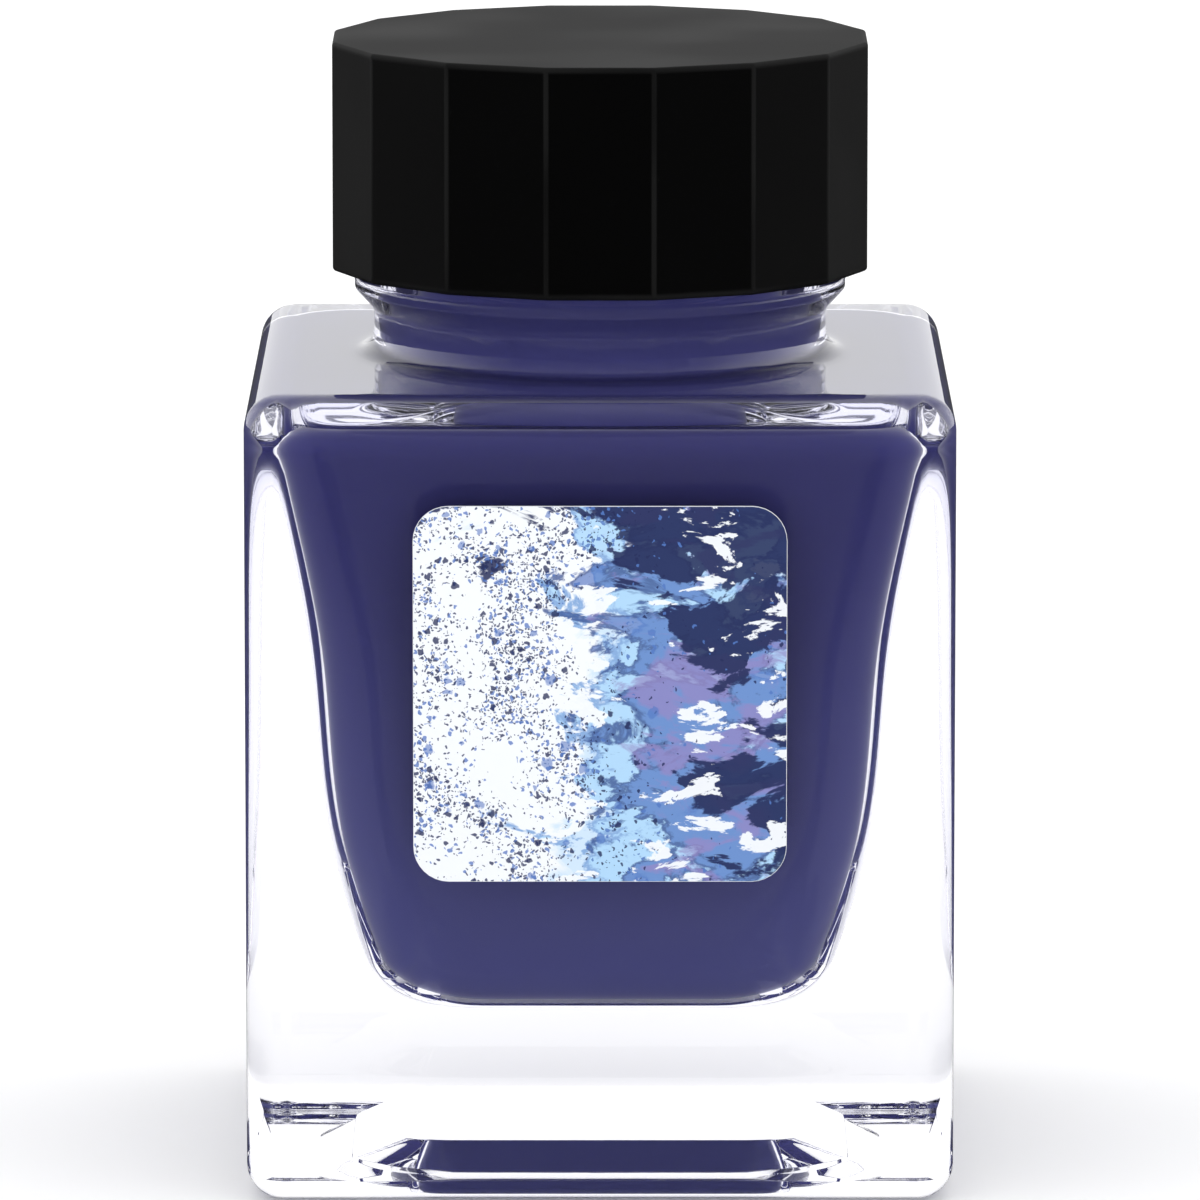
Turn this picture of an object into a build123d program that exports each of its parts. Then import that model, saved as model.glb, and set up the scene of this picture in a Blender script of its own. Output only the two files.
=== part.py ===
"""Square glass ink bottle: a thick-walled body with a tapering well, a threaded neck and a faceted screw cap.

Every length is in millimetres. The origin is the middle of the base, +Z is up and the labelled front faces -Y.
"""
from build123d import *
import math
import os

# ---------------------------------------------------------------- glass body
body_width = 40.0
body_depth = 40.0
body_height = 46.0
body_edge_radius = 2.0

# The foot that the bottle stands on is what the pushed-up middle of the base leaves. The push-up
# is a shallow square tray with sloping sides, a small step in the slope and a flat ceiling.
# Walls are measured in from the body's sides.
push_up_rim_wall = 3.7
push_up_ledge_wall = 5.8
push_up_ceiling_wall = 8.7
push_up_rim_corner = 9.0
push_up_ceiling_corner = 3.0
push_up_ledge_height = 1.0
push_up_step_height = 0.22
push_up_height = 2.5

# ---------------------------------------------------------------- well for the ink
# Wall thickness beside the well, from its ceiling down to its floor.
wall_at_ceiling = 1.1
wall_at_shoulder = 2.6
wall_at_waist = 3.65
wall_at_hip = 4.7
wall_at_floor = 7.5
# Heights above the base of the stations between the ceiling and the floor.
shoulder_station = 37.0
waist_station = 30.5
hip_station = 20.0
floor_thickness = 10.0
ceiling_thickness = 2.0
well_corner_radius_top = 4.5
well_corner_radius_side = 5.2
well_corner_radius_floor = 6.0
well_floor_edge_radius = 4.2
well_ceiling_edge_radius = 1.5
well_throat_radius = 1.2

# ---------------------------------------------------------------- neck and its thread
neck_height = 15.5
thread_diameter = 27.5
thread_ridge_height = 1.2
thread_pitch = 25.4 / 6
thread_root_width = 2.3
thread_crest_width = 0.9
thread_above_bead = 1.9
thread_below_rim = 2.8
neck_wall = 3.05
neck_foot_radius = 1.2
lower_neck_diameter = 26.0
rim_edge_radius = 0.4

# The bead stands out under the skirt of the cap. Its top slope runs up inside the skirt.
bead_diameter = 28.2
bead_foot_height = 2.5
bead_slope_height = 1.2
bead_land_height = 0.6
bead_top_height = 0.9

# ---------------------------------------------------------------- cap and liner
cap_facets = 16
cap_wall = 1.3
cap_top_thickness = 1.4
cap_gap_to_shoulder = 4.9
cap_top_chamfer = 0.3
cap_rim_chamfer = 0.25
liner_thickness = 1.2
liner_radial_clearance = 0.6
cap_thread_root_width = 2.0
cap_thread_crest_width = 0.7

# ---------------------------------------------------------------- fits
thread_radial_clearance = 0.3
thread_flank_clearance = 0.23
bore_clearance = 0.25
ridge_root_overlap = 0.3
cutter_overrun = 1.0
ink_clearance = 0.05

# ---------------------------------------------------------------- ink and label
ink_level_above_shoulder = 7.0
label_width = 21.0
label_height = 21.4
label_thickness = 0.12
label_corner_radius = 2.0
label_below_shoulder = 6.0

# ---------------------------------------------------------------- worked out from the above
shoulder_z = body_height
rim_z = shoulder_z + neck_height
thread_crest_radius = thread_diameter / 2
neck_radius = thread_crest_radius - thread_ridge_height
lower_neck_radius = lower_neck_diameter / 2
mouth_radius = neck_radius - neck_wall
bead_radius = bead_diameter / 2
bead_top_z = shoulder_z + bead_foot_height + bead_slope_height + bead_land_height + bead_top_height
thread_start_z = bead_top_z + thread_above_bead
thread_end_z = rim_z - thread_below_rim

cap_bore_radius = thread_crest_radius + bore_clearance
cap_flat_radius = cap_bore_radius + cap_wall
cap_bottom_z = shoulder_z + cap_gap_to_shoulder
cap_ceiling_z = rim_z + liner_thickness
cap_top_z = cap_ceiling_z + cap_top_thickness
cap_crest_radius = neck_radius + thread_radial_clearance

ink_surface_z = shoulder_z + ink_level_above_shoulder


def rounded_section(height, wall, corner_radius):
    """A rounded rectangle at one height, set in from the body's sides by the wall."""
    return Plane.XY.offset(height) * RectangleRounded(
        body_width - 2 * wall, body_depth - 2 * wall, corner_radius
    )


def make_well(inset):
    """The hollow that holds the ink, shrunk all round by the inset."""
    floor_z = floor_thickness + inset
    ceiling_z = shoulder_z - ceiling_thickness - inset
    well = loft(
        [
            rounded_section(floor_z, wall_at_floor + inset, well_corner_radius_floor),
            rounded_section(hip_station, wall_at_hip + inset, well_corner_radius_side),
            rounded_section(waist_station, wall_at_waist + inset, well_corner_radius_side),
            rounded_section(shoulder_station, wall_at_shoulder + inset, well_corner_radius_top),
            rounded_section(ceiling_z, wall_at_ceiling + inset, well_corner_radius_top),
        ]
    )
    well = fillet(well.faces().sort_by(Axis.Z)[0].edges(), well_floor_edge_radius)
    well = fillet(well.faces().sort_by(Axis.Z)[-1].edges(), well_ceiling_edge_radius)
    return well


def make_throat(inset, top_z):
    """The bore of the neck, flared where it opens into the well."""
    radius = mouth_radius - inset
    ceiling_z = shoulder_z - ceiling_thickness - inset
    with BuildPart() as throat:
        with BuildSketch(Plane.XZ):
            with BuildLine():
                Polyline(
                    (0, ceiling_z - well_throat_radius),
                    (radius + well_throat_radius, ceiling_z - well_throat_radius),
                    (radius + well_throat_radius, ceiling_z),
                )
                RadiusArc(
                    (radius + well_throat_radius, ceiling_z),
                    (radius, ceiling_z + well_throat_radius),
                    well_throat_radius,
                )
                Polyline((radius, ceiling_z + well_throat_radius), (radius, top_z), (0, top_z))
                Line((0, top_z), (0, ceiling_z - well_throat_radius))
            make_face()
        revolve(axis=Axis.Z)
    return throat.part


def helical_ridge(start_z, end_z, start_angle, root_radius, crest_radius, root_width, crest_width):
    """A right-handed ridge of trapezoid section that winds up from start_z to end_z."""
    path = Helix(thread_pitch, end_z - start_z, root_radius)
    section = Plane.XZ * Polygon(
        (root_radius, -root_width / 2),
        (crest_radius, -crest_width / 2),
        (crest_radius, crest_width / 2),
        (root_radius, root_width / 2),
        align=None,
    )
    ridge = sweep(section, path, is_frenet=True)
    return Pos(0, 0, start_z) * Rot(0, 0, start_angle) * ridge


def widened_root(root_radius, crest_radius, root_width, crest_width):
    """Radius and width of a ridge's root once it is carried on into the wall behind it."""
    flank = (root_width - crest_width) / abs(crest_radius - root_radius)
    side = 1 if crest_radius > root_radius else -1
    return root_radius - side * ridge_root_overlap, root_width + flank * ridge_root_overlap


def make_neck():
    """The neck above the shoulder: foot fillet, bead, threaded finish and rounded rim."""
    bead_foot_z = shoulder_z + bead_foot_height
    bead_low_z = bead_foot_z + bead_slope_height
    bead_high_z = bead_low_z + bead_land_height
    root_z = shoulder_z - ceiling_thickness / 2
    with BuildPart() as neck:
        with BuildSketch(Plane.XZ):
            with BuildLine():
                Polyline(
                    (0, root_z),
                    (lower_neck_radius + neck_foot_radius, root_z),
                    (lower_neck_radius + neck_foot_radius, shoulder_z),
                )
                RadiusArc(
                    (lower_neck_radius + neck_foot_radius, shoulder_z),
                    (lower_neck_radius, shoulder_z + neck_foot_radius),
                    neck_foot_radius,
                )
                Polyline(
                    (lower_neck_radius, shoulder_z + neck_foot_radius),
                    (lower_neck_radius, bead_foot_z),
                    (bead_radius, bead_low_z),
                    (bead_radius, bead_high_z),
                    (neck_radius, bead_top_z),
                    (neck_radius, rim_z),
                    (0, rim_z),
                    (0, root_z),
                )
            make_face()
        revolve(axis=Axis.Z)
    rim_edges = neck.part.edges().filter_by(GeomType.CIRCLE).group_by(Axis.Z)[-1]
    body = fillet(rim_edges, rim_edge_radius)
    root_radius, root_width = widened_root(
        neck_radius, thread_crest_radius, thread_root_width, thread_crest_width
    )
    ridge = helical_ridge(
        thread_start_z, thread_end_z, 0, root_radius, thread_crest_radius, root_width, thread_crest_width
    )
    return body + ridge


def make_push_up():
    """The tray pressed up into the base: a low slope, a small step, a high slope and a flat ceiling."""
    ledge_share = (push_up_ledge_wall - push_up_rim_wall) / (push_up_ceiling_wall - push_up_rim_wall)
    ledge_corner = push_up_rim_corner + (push_up_ceiling_corner - push_up_rim_corner) * ledge_share
    step_top = push_up_ledge_height + push_up_step_height
    mouth = extrude(rounded_section(-cutter_overrun, push_up_rim_wall, push_up_rim_corner), cutter_overrun)
    low_slope = loft(
        [
            rounded_section(0, push_up_rim_wall, push_up_rim_corner),
            rounded_section(push_up_ledge_height, push_up_ledge_wall, ledge_corner),
        ],
        ruled=True,
    )
    ledge = rounded_section(push_up_ledge_height, push_up_ledge_wall, ledge_corner)
    step = extrude(ledge, push_up_step_height)
    high_slope = loft(
        [
            rounded_section(step_top, push_up_ledge_wall, ledge_corner),
            rounded_section(push_up_height, push_up_ceiling_wall, push_up_ceiling_corner),
        ],
        ruled=True,
    )
    return mouth + low_slope + step + high_slope


def make_glass_bottle():
    """The one piece of glass: body, neck and thread, hollowed by the well and the push-up."""
    body = Pos(0, 0, body_height / 2) * Box(body_width, body_depth, body_height)
    body = fillet(body.edges(), body_edge_radius)
    glass = body + make_neck()
    glass = glass - make_well(0) - make_throat(0, rim_z + cutter_overrun) - make_push_up()
    return glass


def make_ink():
    """The ink, filling the well and the lower part of the neck."""
    return make_well(ink_clearance) + make_throat(ink_clearance, ink_surface_z)


def thread_flank_drop():
    """How far the cap's ridge lies below the neck's ridge when the cap is screwed down."""
    middle = (thread_crest_radius + cap_crest_radius) / 2
    neck_share = (thread_crest_radius - middle) / (thread_crest_radius - neck_radius)
    cap_share = (middle - cap_crest_radius) / (cap_bore_radius - cap_crest_radius)
    neck_half = (thread_crest_width + (thread_root_width - thread_crest_width) * neck_share) / 2
    cap_half = (cap_thread_crest_width + (cap_thread_root_width - cap_thread_crest_width) * cap_share) / 2
    return neck_half + cap_half + thread_flank_clearance


def make_screw_cap():
    """A moulded cap: faceted outside, bored and threaded inside."""
    corner_radius = cap_flat_radius / math.cos(math.pi / cap_facets)
    outline = RegularPolygon(corner_radius, cap_facets, rotation=180 / cap_facets)
    cap = Pos(0, 0, cap_bottom_z) * extrude(outline, cap_top_z - cap_bottom_z)
    cap = chamfer(cap.faces().sort_by(Axis.Z)[-1].edges(), cap_top_chamfer)
    cap = chamfer(cap.faces().sort_by(Axis.Z)[0].edges(), cap_rim_chamfer)
    bore_depth = cap_ceiling_z - cap_bottom_z
    bore = Pos(0, 0, cap_bottom_z + bore_depth / 2) * Cylinder(cap_bore_radius, bore_depth)
    cap = cap - bore
    drop = thread_flank_drop()
    start_z = bead_top_z + thread_above_bead
    end_z = thread_end_z - drop
    start_angle = (start_z + drop - thread_start_z) / thread_pitch * 360
    root_radius, root_width = widened_root(
        cap_bore_radius, cap_crest_radius, cap_thread_root_width, cap_thread_crest_width
    )
    ridge = helical_ridge(
        start_z, end_z, start_angle, root_radius, cap_crest_radius, root_width, cap_thread_crest_width
    )
    return cap + ridge


def make_sealing_liner():
    """The disc that the cap presses down on the rim."""
    radius = cap_bore_radius - liner_radial_clearance
    return Pos(0, 0, rim_z + liner_thickness / 2) * Cylinder(radius, liner_thickness)


def make_front_label():
    """The square sticker on the front of the body."""
    centre_z = shoulder_z - label_below_shoulder - label_height / 2
    outline = RectangleRounded(label_width, label_height, label_corner_radius)
    label = extrude(Plane.XZ * outline, label_thickness)
    return Pos(0, -body_depth / 2, centre_z) * label


pieces = {
    "glass_bottle": make_glass_bottle(),
    "ink": make_ink(),
    "screw_cap": make_screw_cap(),
    "sealing_liner": make_sealing_liner(),
    "front_label": make_front_label(),
}

os.makedirs("parts", exist_ok=True)
for name, shape in pieces.items():
    export_step(shape, f"parts/{name}.step")
    box = shape.bounding_box()
    print(f"{name}: {len(shape.solids())} solid, {shape.volume:.1f} mm3, z {box.min.Z:.2f} to {box.max.Z:.2f}")
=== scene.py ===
import math

import bmesh
import bpy
from bpy.props import FloatProperty, FloatVectorProperty, IntProperty, PointerProperty
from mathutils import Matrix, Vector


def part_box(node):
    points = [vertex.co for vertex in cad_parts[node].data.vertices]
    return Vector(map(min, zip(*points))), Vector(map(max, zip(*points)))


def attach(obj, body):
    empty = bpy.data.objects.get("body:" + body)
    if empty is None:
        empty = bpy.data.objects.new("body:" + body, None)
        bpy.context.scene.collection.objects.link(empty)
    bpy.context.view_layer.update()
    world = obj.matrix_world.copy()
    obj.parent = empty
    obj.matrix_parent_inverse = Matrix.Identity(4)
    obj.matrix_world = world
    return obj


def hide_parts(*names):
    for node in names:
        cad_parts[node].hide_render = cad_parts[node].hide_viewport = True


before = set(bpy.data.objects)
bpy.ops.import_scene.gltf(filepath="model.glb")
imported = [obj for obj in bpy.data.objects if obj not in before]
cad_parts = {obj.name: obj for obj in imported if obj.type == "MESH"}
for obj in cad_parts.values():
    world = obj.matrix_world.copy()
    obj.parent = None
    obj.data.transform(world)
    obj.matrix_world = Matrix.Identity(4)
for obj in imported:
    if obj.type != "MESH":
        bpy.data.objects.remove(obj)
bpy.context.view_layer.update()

bl_info = {
    "name": "Square Ink Bottle",
    "version": (1, 0, 0),
    "blender": (4, 5, 0),
    "location": "View3D > Sidebar > Ink Bottle",
    "description": "Makes a square glass ink bottle with its ink, faceted screw cap, liner and label",
    "category": "Add Mesh",
}

MM = 0.001

# Indices of refraction: glass, ink, and ink as the glass over it sees it.
GLASS_IOR = 1.5
INK_IOR = 1.33
INK_UNDER_GLASS_IOR = 0.887
# Spacing of a mesh's rows: up the walls, up the neck's thread and up the cap's bore.
WALL_ROWS = 0.8 * MM
NECK_THREAD_ROWS = 0.12 * MM
BORE_THREAD_ROWS = 0.13 * MM
# How far down the rim's own rows reach.
RIM_DEPTH = 1.2 * MM

glass_low, glass_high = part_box("glass_bottle")
ink_low, ink_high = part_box("ink")
cap_low, cap_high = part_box("screw_cap")
liner_low, liner_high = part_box("sealing_liner")
label_low, label_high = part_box("front_label")


def length(name, description, default):
    """A length that a user may set, in metres."""
    return FloatProperty(
        name=name,
        description=description,
        default=default,
        min=0.0,
        subtype="DISTANCE",
        unit="LENGTH",
        precision=5,
    )


def shade(name, description, default):
    """A colour that a user may set."""
    return FloatVectorProperty(
        name=name, description=description, default=default, size=4, min=0.0, max=1.0, subtype="COLOR"
    )


def amount(name, description, default, low=0.0, high=1.0):
    """A plain number that a user may set."""
    return FloatProperty(name=name, description=description, default=default, min=low, max=high)


# ---------------------------------------------------------------- settings


class BottleSettings(bpy.types.PropertyGroup):
    """Sizes of the glass bottle, its well and its neck."""

    half_width: length("Half Width", "From the axis to a side of the body", glass_high.x)
    shoulder: length("Shoulder Height", "Height of the body's flat top", 46.0 * MM)
    rim: length("Rim Height", "Height of the mouth's rim", glass_high.z)
    edge_radius: length("Edge Radius", "Rounding of the body's outer edges", 2.0 * MM)
    push_up_rim: length("Push-up Rim", "Half-width of the hollow under the base, at the foot", 16.3 * MM)
    push_up_ledge: length("Push-up Ledge", "Half-width of the hollow at its slope's small step", 14.2 * MM)
    push_up_ceiling: length("Push-up Ceiling", "Half-width of the hollow's flat ceiling", 11.3 * MM)
    push_up_corner: length("Push-up Corner", "Corner radius of the hollow's ceiling", 3.0 * MM)
    push_up_rim_corner: length("Push-up Rim Corner", "Corner radius of the hollow's rim", 9.0 * MM)
    push_up_low: length("Push-up Low Height", "Height of the hollow under its step", 1.0 * MM)
    push_up_step: length("Push-up Step", "Height of the step", 0.22 * MM)
    push_up_height: length("Push-up Height", "Height of the hollow's ceiling", 2.5 * MM)
    lower_neck: length("Lower Neck Radius", "Radius of the neck below the bead", 13.0 * MM)
    upper_neck: length("Upper Neck Radius", "Radius of the neck between the threads", 12.55 * MM)
    neck_foot: length("Neck Foot Radius", "Fillet where the neck meets the shoulder", 1.2 * MM)
    bead_radius: length("Bead Radius", "Radius of the bead under the cap", 14.1 * MM)
    mouth: length("Mouth Radius", "Radius of the neck's bore", 9.5 * MM)
    rim_rounding: length("Rim Rounding", "Rounding of the mouth's rim", 0.5 * MM)
    ceiling: length("Ceiling Thickness", "Glass above the well", 2.0 * MM)
    ceiling_rounding: length("Ceiling Rounding", "Rounding of the well's upper edge", 1.5 * MM)
    throat_rounding: length("Throat Rounding", "Flare where the bore opens into the well", 1.2 * MM)
    floor: length("Floor Thickness", "Glass below the well", 10.0 * MM)
    floor_rounding: length("Floor Rounding", "Rounding of the well's lower edge", 4.2 * MM)
    wall_at_floor: length("Wall at Floor", "Glass beside the well at its floor", 7.5 * MM)
    wall_at_hip: length("Wall at Hip", "Glass beside the well at its hip", 4.7 * MM)
    wall_at_waist: length("Wall at Waist", "Glass beside the well at its waist", 3.65 * MM)
    wall_at_shoulder: length("Wall at Shoulder", "Glass beside the well near its top", 2.6 * MM)
    wall_at_ceiling: length("Wall at Ceiling", "Glass beside the well at its ceiling", 1.1 * MM)
    hip: length("Hip Height", "Height of the well's hip", 20.0 * MM)
    waist: length("Waist Height", "Height of the well's waist", 30.5 * MM)
    well_shoulder: length("Well Shoulder", "Height at which the well opens out", 37.0 * MM)
    floor_corner: length("Floor Corner", "Corner radius of the well's floor", 6.0 * MM)
    side_corner: length("Side Corner", "Corner radius of the well's walls", 5.2 * MM)
    top_corner: length("Top Corner", "Corner radius of the well near its top", 4.5 * MM)
    bead_foot: length("Bead Foot", "Height of the bead's foot above the shoulder", 2.5 * MM)
    bead_slope: length("Bead Slope", "Height of the bead's lower slope", 1.2 * MM)
    bead_land: length("Bead Land", "Height of the bead's upright edge", 0.6 * MM)
    bead_top: length("Bead Top", "Height of the bead's upper slope", 0.9 * MM)


class ThreadSettings(bpy.types.PropertyGroup):
    """Sizes of the thread that the neck and the cap share."""

    pitch: length("Pitch", "Rise of the thread in one turn", 25.4 / 6 * MM)
    ridge: length("Ridge Height", "How far the neck's ridge stands out", 1.2 * MM)
    root_width: length("Root Width", "Width of the neck's ridge where it joins the neck", 2.3 * MM)
    crest_width: length("Crest Width", "Width of the neck's ridge at its top", 0.9 * MM)
    start: length("Start", "Height of the ridge's lower end above the shoulder", 7.1 * MM)
    below_rim: length("Below Rim", "Depth of the ridge's upper end below the rim", 2.8 * MM)
    drop: length("Cap Thread Drop", "How far the cap's ridge lies under the neck's ridge", 1.55 * MM)
    cap_ridge: length("Cap Ridge Height", "How far the cap's ridge stands in", 1.15 * MM)
    cap_root_width: length("Cap Root Width", "Width of the cap's ridge at the bore", 2.0 * MM)
    cap_crest_width: length("Cap Crest Width", "Width of the cap's ridge at its top", 0.7 * MM)
    run_out: amount("Run-out", "Share of a turn over which a ridge's end fades away", 0.06)


class InkSettings(bpy.types.PropertyGroup):
    """The ink and its surface."""

    # Painted light: the ink is one even liquid, so these colours differ only to stand in for light. It is
    # painted lighter towards the floor, and lightest in the neck to offset the cap's shade there.
    upper_colour: shade("Upper Colour", "Ink under the shoulder", (0.048, 0.047, 0.19, 1.0))
    lower_painted_light_colour: shade("Lower Colour", "Ink near the floor", (0.096, 0.1, 0.29, 1.0))
    neck_painted_light_colour: shade("Neck Colour", "Ink in the neck", (0.11, 0.11, 0.38, 1.0))
    wetting: length("Wetting", "How far the ink reaches into the glass, so no air shows", 0.03 * MM)
    meniscus: length("Meniscus", "How far the ink climbs at the edge of its surface", 0.5 * MM)


class CapSettings(bpy.types.PropertyGroup):
    """The screw cap."""

    facets: IntProperty(name="Facets", description="Flat sides round the cap", default=16, min=6, max=48)
    flat_radius: length("Flat Radius", "From the axis to a flat side", cap_high.x)
    bore: length("Bore Radius", "Radius inside the cap between the threads", 14.0 * MM)
    edge_rounding: length("Edge Rounding", "Rounding of the upright edges", 0.5 * MM)
    top_rounding: length("Top Rounding", "Rounding of the top edge", 0.2 * MM)
    rim_rounding: length("Rim Rounding", "Rounding of the lower edge", 0.25 * MM)
    colour: shade("Plastic Colour", "Colour of the moulded plastic", (0.0009, 0.0009, 0.001, 1.0))
    # Painted sheen: a lighter colour along the cap's edges that stands in for highlights on them.
    painted_sheen: shade("Painted Sheen Colour", "Colour where the edges are rubbed", (0.008, 0.008, 0.008, 1.0))
    roughness: amount("Roughness", "Roughness of the plastic", 0.62)


class LinerSettings(bpy.types.PropertyGroup):
    """The sealing liner."""

    pillow: length("Pillow", "How far the foam swells beside the rim's mark", 0.12 * MM)
    rounding: length("Edge Rounding", "Rounding of the disc's edge", 0.25 * MM)
    colour: shade("Foam Colour", "Colour of the foam", (0.82, 0.82, 0.8, 1.0))


class LabelSettings(bpy.types.PropertyGroup):
    """The front label."""

    corner: length("Corner Radius", "Rounding of the label's corners", 2.0 * MM)
    edge: length("Edge Rounding", "Softness of the cut edge", 0.03 * MM)
    paper: shade("Paper", "Bare paper", (0.83, 0.86, 0.9, 1.0))
    pale: shade("Pale Wash", "Palest wash", (0.38, 0.62, 0.86, 1.0))
    middle: shade("Middle Wash", "Middle blue", (0.07, 0.17, 0.5, 1.0))
    deep: shade("Deep Wash", "Darkest blue", (0.012, 0.022, 0.11, 1.0))
    violet: shade("Violet Wash", "Violet patches", (0.26, 0.22, 0.5, 1.0))


class StudioSettings(bpy.types.PropertyGroup):
    """Camera, floor and light."""

    distance: length("Camera Distance", "From the camera to the bottle's axis, along the floor", 0.6771)
    height: length("Camera Height", "Height of the camera above the floor", 0.1445)
    tilt: FloatProperty(
        name="Camera Tilt",
        description="How far the camera looks down",
        default=math.radians(9.49),
        subtype="ANGLE",
    )
    lens: FloatProperty(name="Lens", description="Focal length in millimetres", default=356.5, min=20.0)
    floor: shade("Floor", "Colour of the floor", (0.95, 0.95, 0.955, 1.0))
    room: amount("Room", "Brightness of the white room", 1.25, high=3.0)
    front_light: amount("Front Light", "Brightness mirrored from behind the camera", 0.0, high=2.0)
    side_light: amount("Side Light", "Brightness mirrored from the sides", 0.8, high=3.0)
    top_light: amount("Top Light", "Brightness mirrored from overhead", 0.3, high=3.0)
    side_boxes: amount("Side Boxes", "Brightness of the two lamps beside the bottle", 1.6, high=4.0)
    gap: length("Floor Gap", "Air between the floor and the bottle's foot", 0.03 * MM)


# ---------------------------------------------------------------- node helpers


def new_tree(name, kind, inputs, outputs):
    """An empty node group with the named sockets, and its two end nodes."""
    tree = bpy.data.node_groups.new(name, kind)
    for direction, sockets in (("INPUT", inputs), ("OUTPUT", outputs)):
        for label, socket_type, *default in sockets:
            socket = tree.interface.new_socket(name=label, in_out=direction, socket_type=socket_type)
            if default:
                socket.default_value = default[0]
    return tree, tree.nodes.new("NodeGroupInput"), tree.nodes.new("NodeGroupOutput")


def shared_tree(name, build):
    """The named node group, built the first time that it is asked for."""
    return bpy.data.node_groups.get(name) or build()


def feed(tree, socket, value):
    """Links a socket to an output, or sets it to a plain value."""
    if isinstance(value, bpy.types.NodeSocket):
        tree.links.new(value, socket)
    else:
        socket.default_value = value


def node(tree, kind, inputs=(), **settings):
    """Adds a node, with its settings, and feeds its inputs by name or by place."""
    made = tree.nodes.new(kind)
    for key, value in settings.items():
        setattr(made, key, value)
    for key, value in dict(inputs).items():
        feed(tree, made.inputs[key], value)
    return made


def maths(tree, operation, first, second=0.0):
    """The output of one Math node."""
    return node(tree, "ShaderNodeMath", {0: first, 1: second}, operation=operation).outputs[0]


def times(tree, first, second):
    """The product of two values."""
    return maths(tree, "MULTIPLY", first, second)


def parts_of(tree, vector):
    """The three parts of a vector."""
    return node(tree, "ShaderNodeSeparateXYZ", {0: vector}).outputs


def smooth(tree, value, start, end, low=0.0, high=1.0):
    """A value eased from low to high between start and end."""
    made = node(
        tree,
        "ShaderNodeMapRange",
        {"Value": value, "From Min": start, "From Max": end, "To Min": low, "To Max": high},
        interpolation_type="SMOOTHSTEP",
    )
    return made.outputs["Result"]


def placed(tree, group, values):
    """The outputs of a shader node group placed in the tree with its own values."""
    made = tree.nodes.new("ShaderNodeGroup")
    made.node_tree = group
    for key, value in values.items():
        feed(tree, made.inputs[key], value)
    return made.outputs


def blend_colours(tree, factor, first, second, mode="MIX"):
    """The output of one colour Mix node."""
    made = node(tree, "ShaderNodeMix", {0: factor, 6: first, 7: second}, data_type="RGBA", blend_type=mode)
    return made.outputs[2]


# ---------------------------------------------------------------- mesh helpers


def quadrant_angles():
    """Angles of the points in a quarter of a section, closest together where the body's corners turn."""
    stops = (
        (0.0, 34.0, 10),
        (34.0, 41.4, 5),
        (41.4, 42.0, 1),
        (42.0, 48.0, 10),
        (48.0, 48.6, 1),
        (48.6, 56.0, 5),
        (56.0, 90.0, 10),
    )
    angles = []
    for low, high, steps in stops:
        angles.extend(low + (high - low) * i / steps for i in range(steps))
    return angles


def all_round(angles):
    """Unit directions for a whole turn, from the angles of one quarter."""
    turned = [math.radians(angle + 90.0 * quarter) for quarter in range(4) for angle in angles]
    return [(math.cos(a), math.sin(a)) for a in turned]


def section_point(direction, half, corner):
    """Where a ray from the middle meets a square of that half-width with rounded corners."""
    across, up = abs(direction[0]), abs(direction[1])
    straight = half - corner
    if up * half <= across * straight:
        reach = half / across
    elif across * half <= up * straight:
        reach = half / up
    else:
        along = straight * (across + up)
        reach = along + math.sqrt(max(along * along - 2.0 * straight * straight + corner * corner, 0.0))
    return direction[0] * reach, direction[1] * reach


def skin(name, rings, directions, bottom_z=None, top_z=None, layers=None):
    """A closed mesh through rings of (half-width, corner, height). Poles close its two ends."""
    mesh = bmesh.new()
    marks = {key: mesh.verts.layers.float.new(key) for key in (layers or {})}
    rows = []
    for index, (half, corner, height) in enumerate(rings):
        row = []
        for direction in directions:
            x, y = section_point(direction, half, corner)
            vertex = mesh.verts.new((x, y, height))
            for key, layer in marks.items():
                vertex[layer] = layers[key][index]
            row.append(vertex)
        rows.append(row)
    count = len(directions)
    for lower, upper in zip(rows, rows[1:]):
        for i in range(count):
            j = (i + 1) % count
            mesh.faces.new((lower[i], lower[j], upper[j], upper[i]))
    for row, height in ((rows[0], bottom_z), (rows[-1], top_z)):
        pole = mesh.verts.new((0.0, 0.0, height))
        for i in range(count):
            mesh.faces.new((row[i], row[(i + 1) % count], pole))
    return finish_mesh(name, mesh)


def finish_mesh(name, mesh):
    """Turns a bmesh into an object with outward, smooth faces."""
    bmesh.ops.recalc_face_normals(mesh, faces=mesh.faces)
    for face in mesh.faces:
        face.smooth = True
    data = bpy.data.meshes.new(name)
    mesh.to_mesh(data)
    mesh.free()
    piece = bpy.data.objects.new(name, data)
    bpy.context.scene.collection.objects.link(piece)
    return piece


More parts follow.
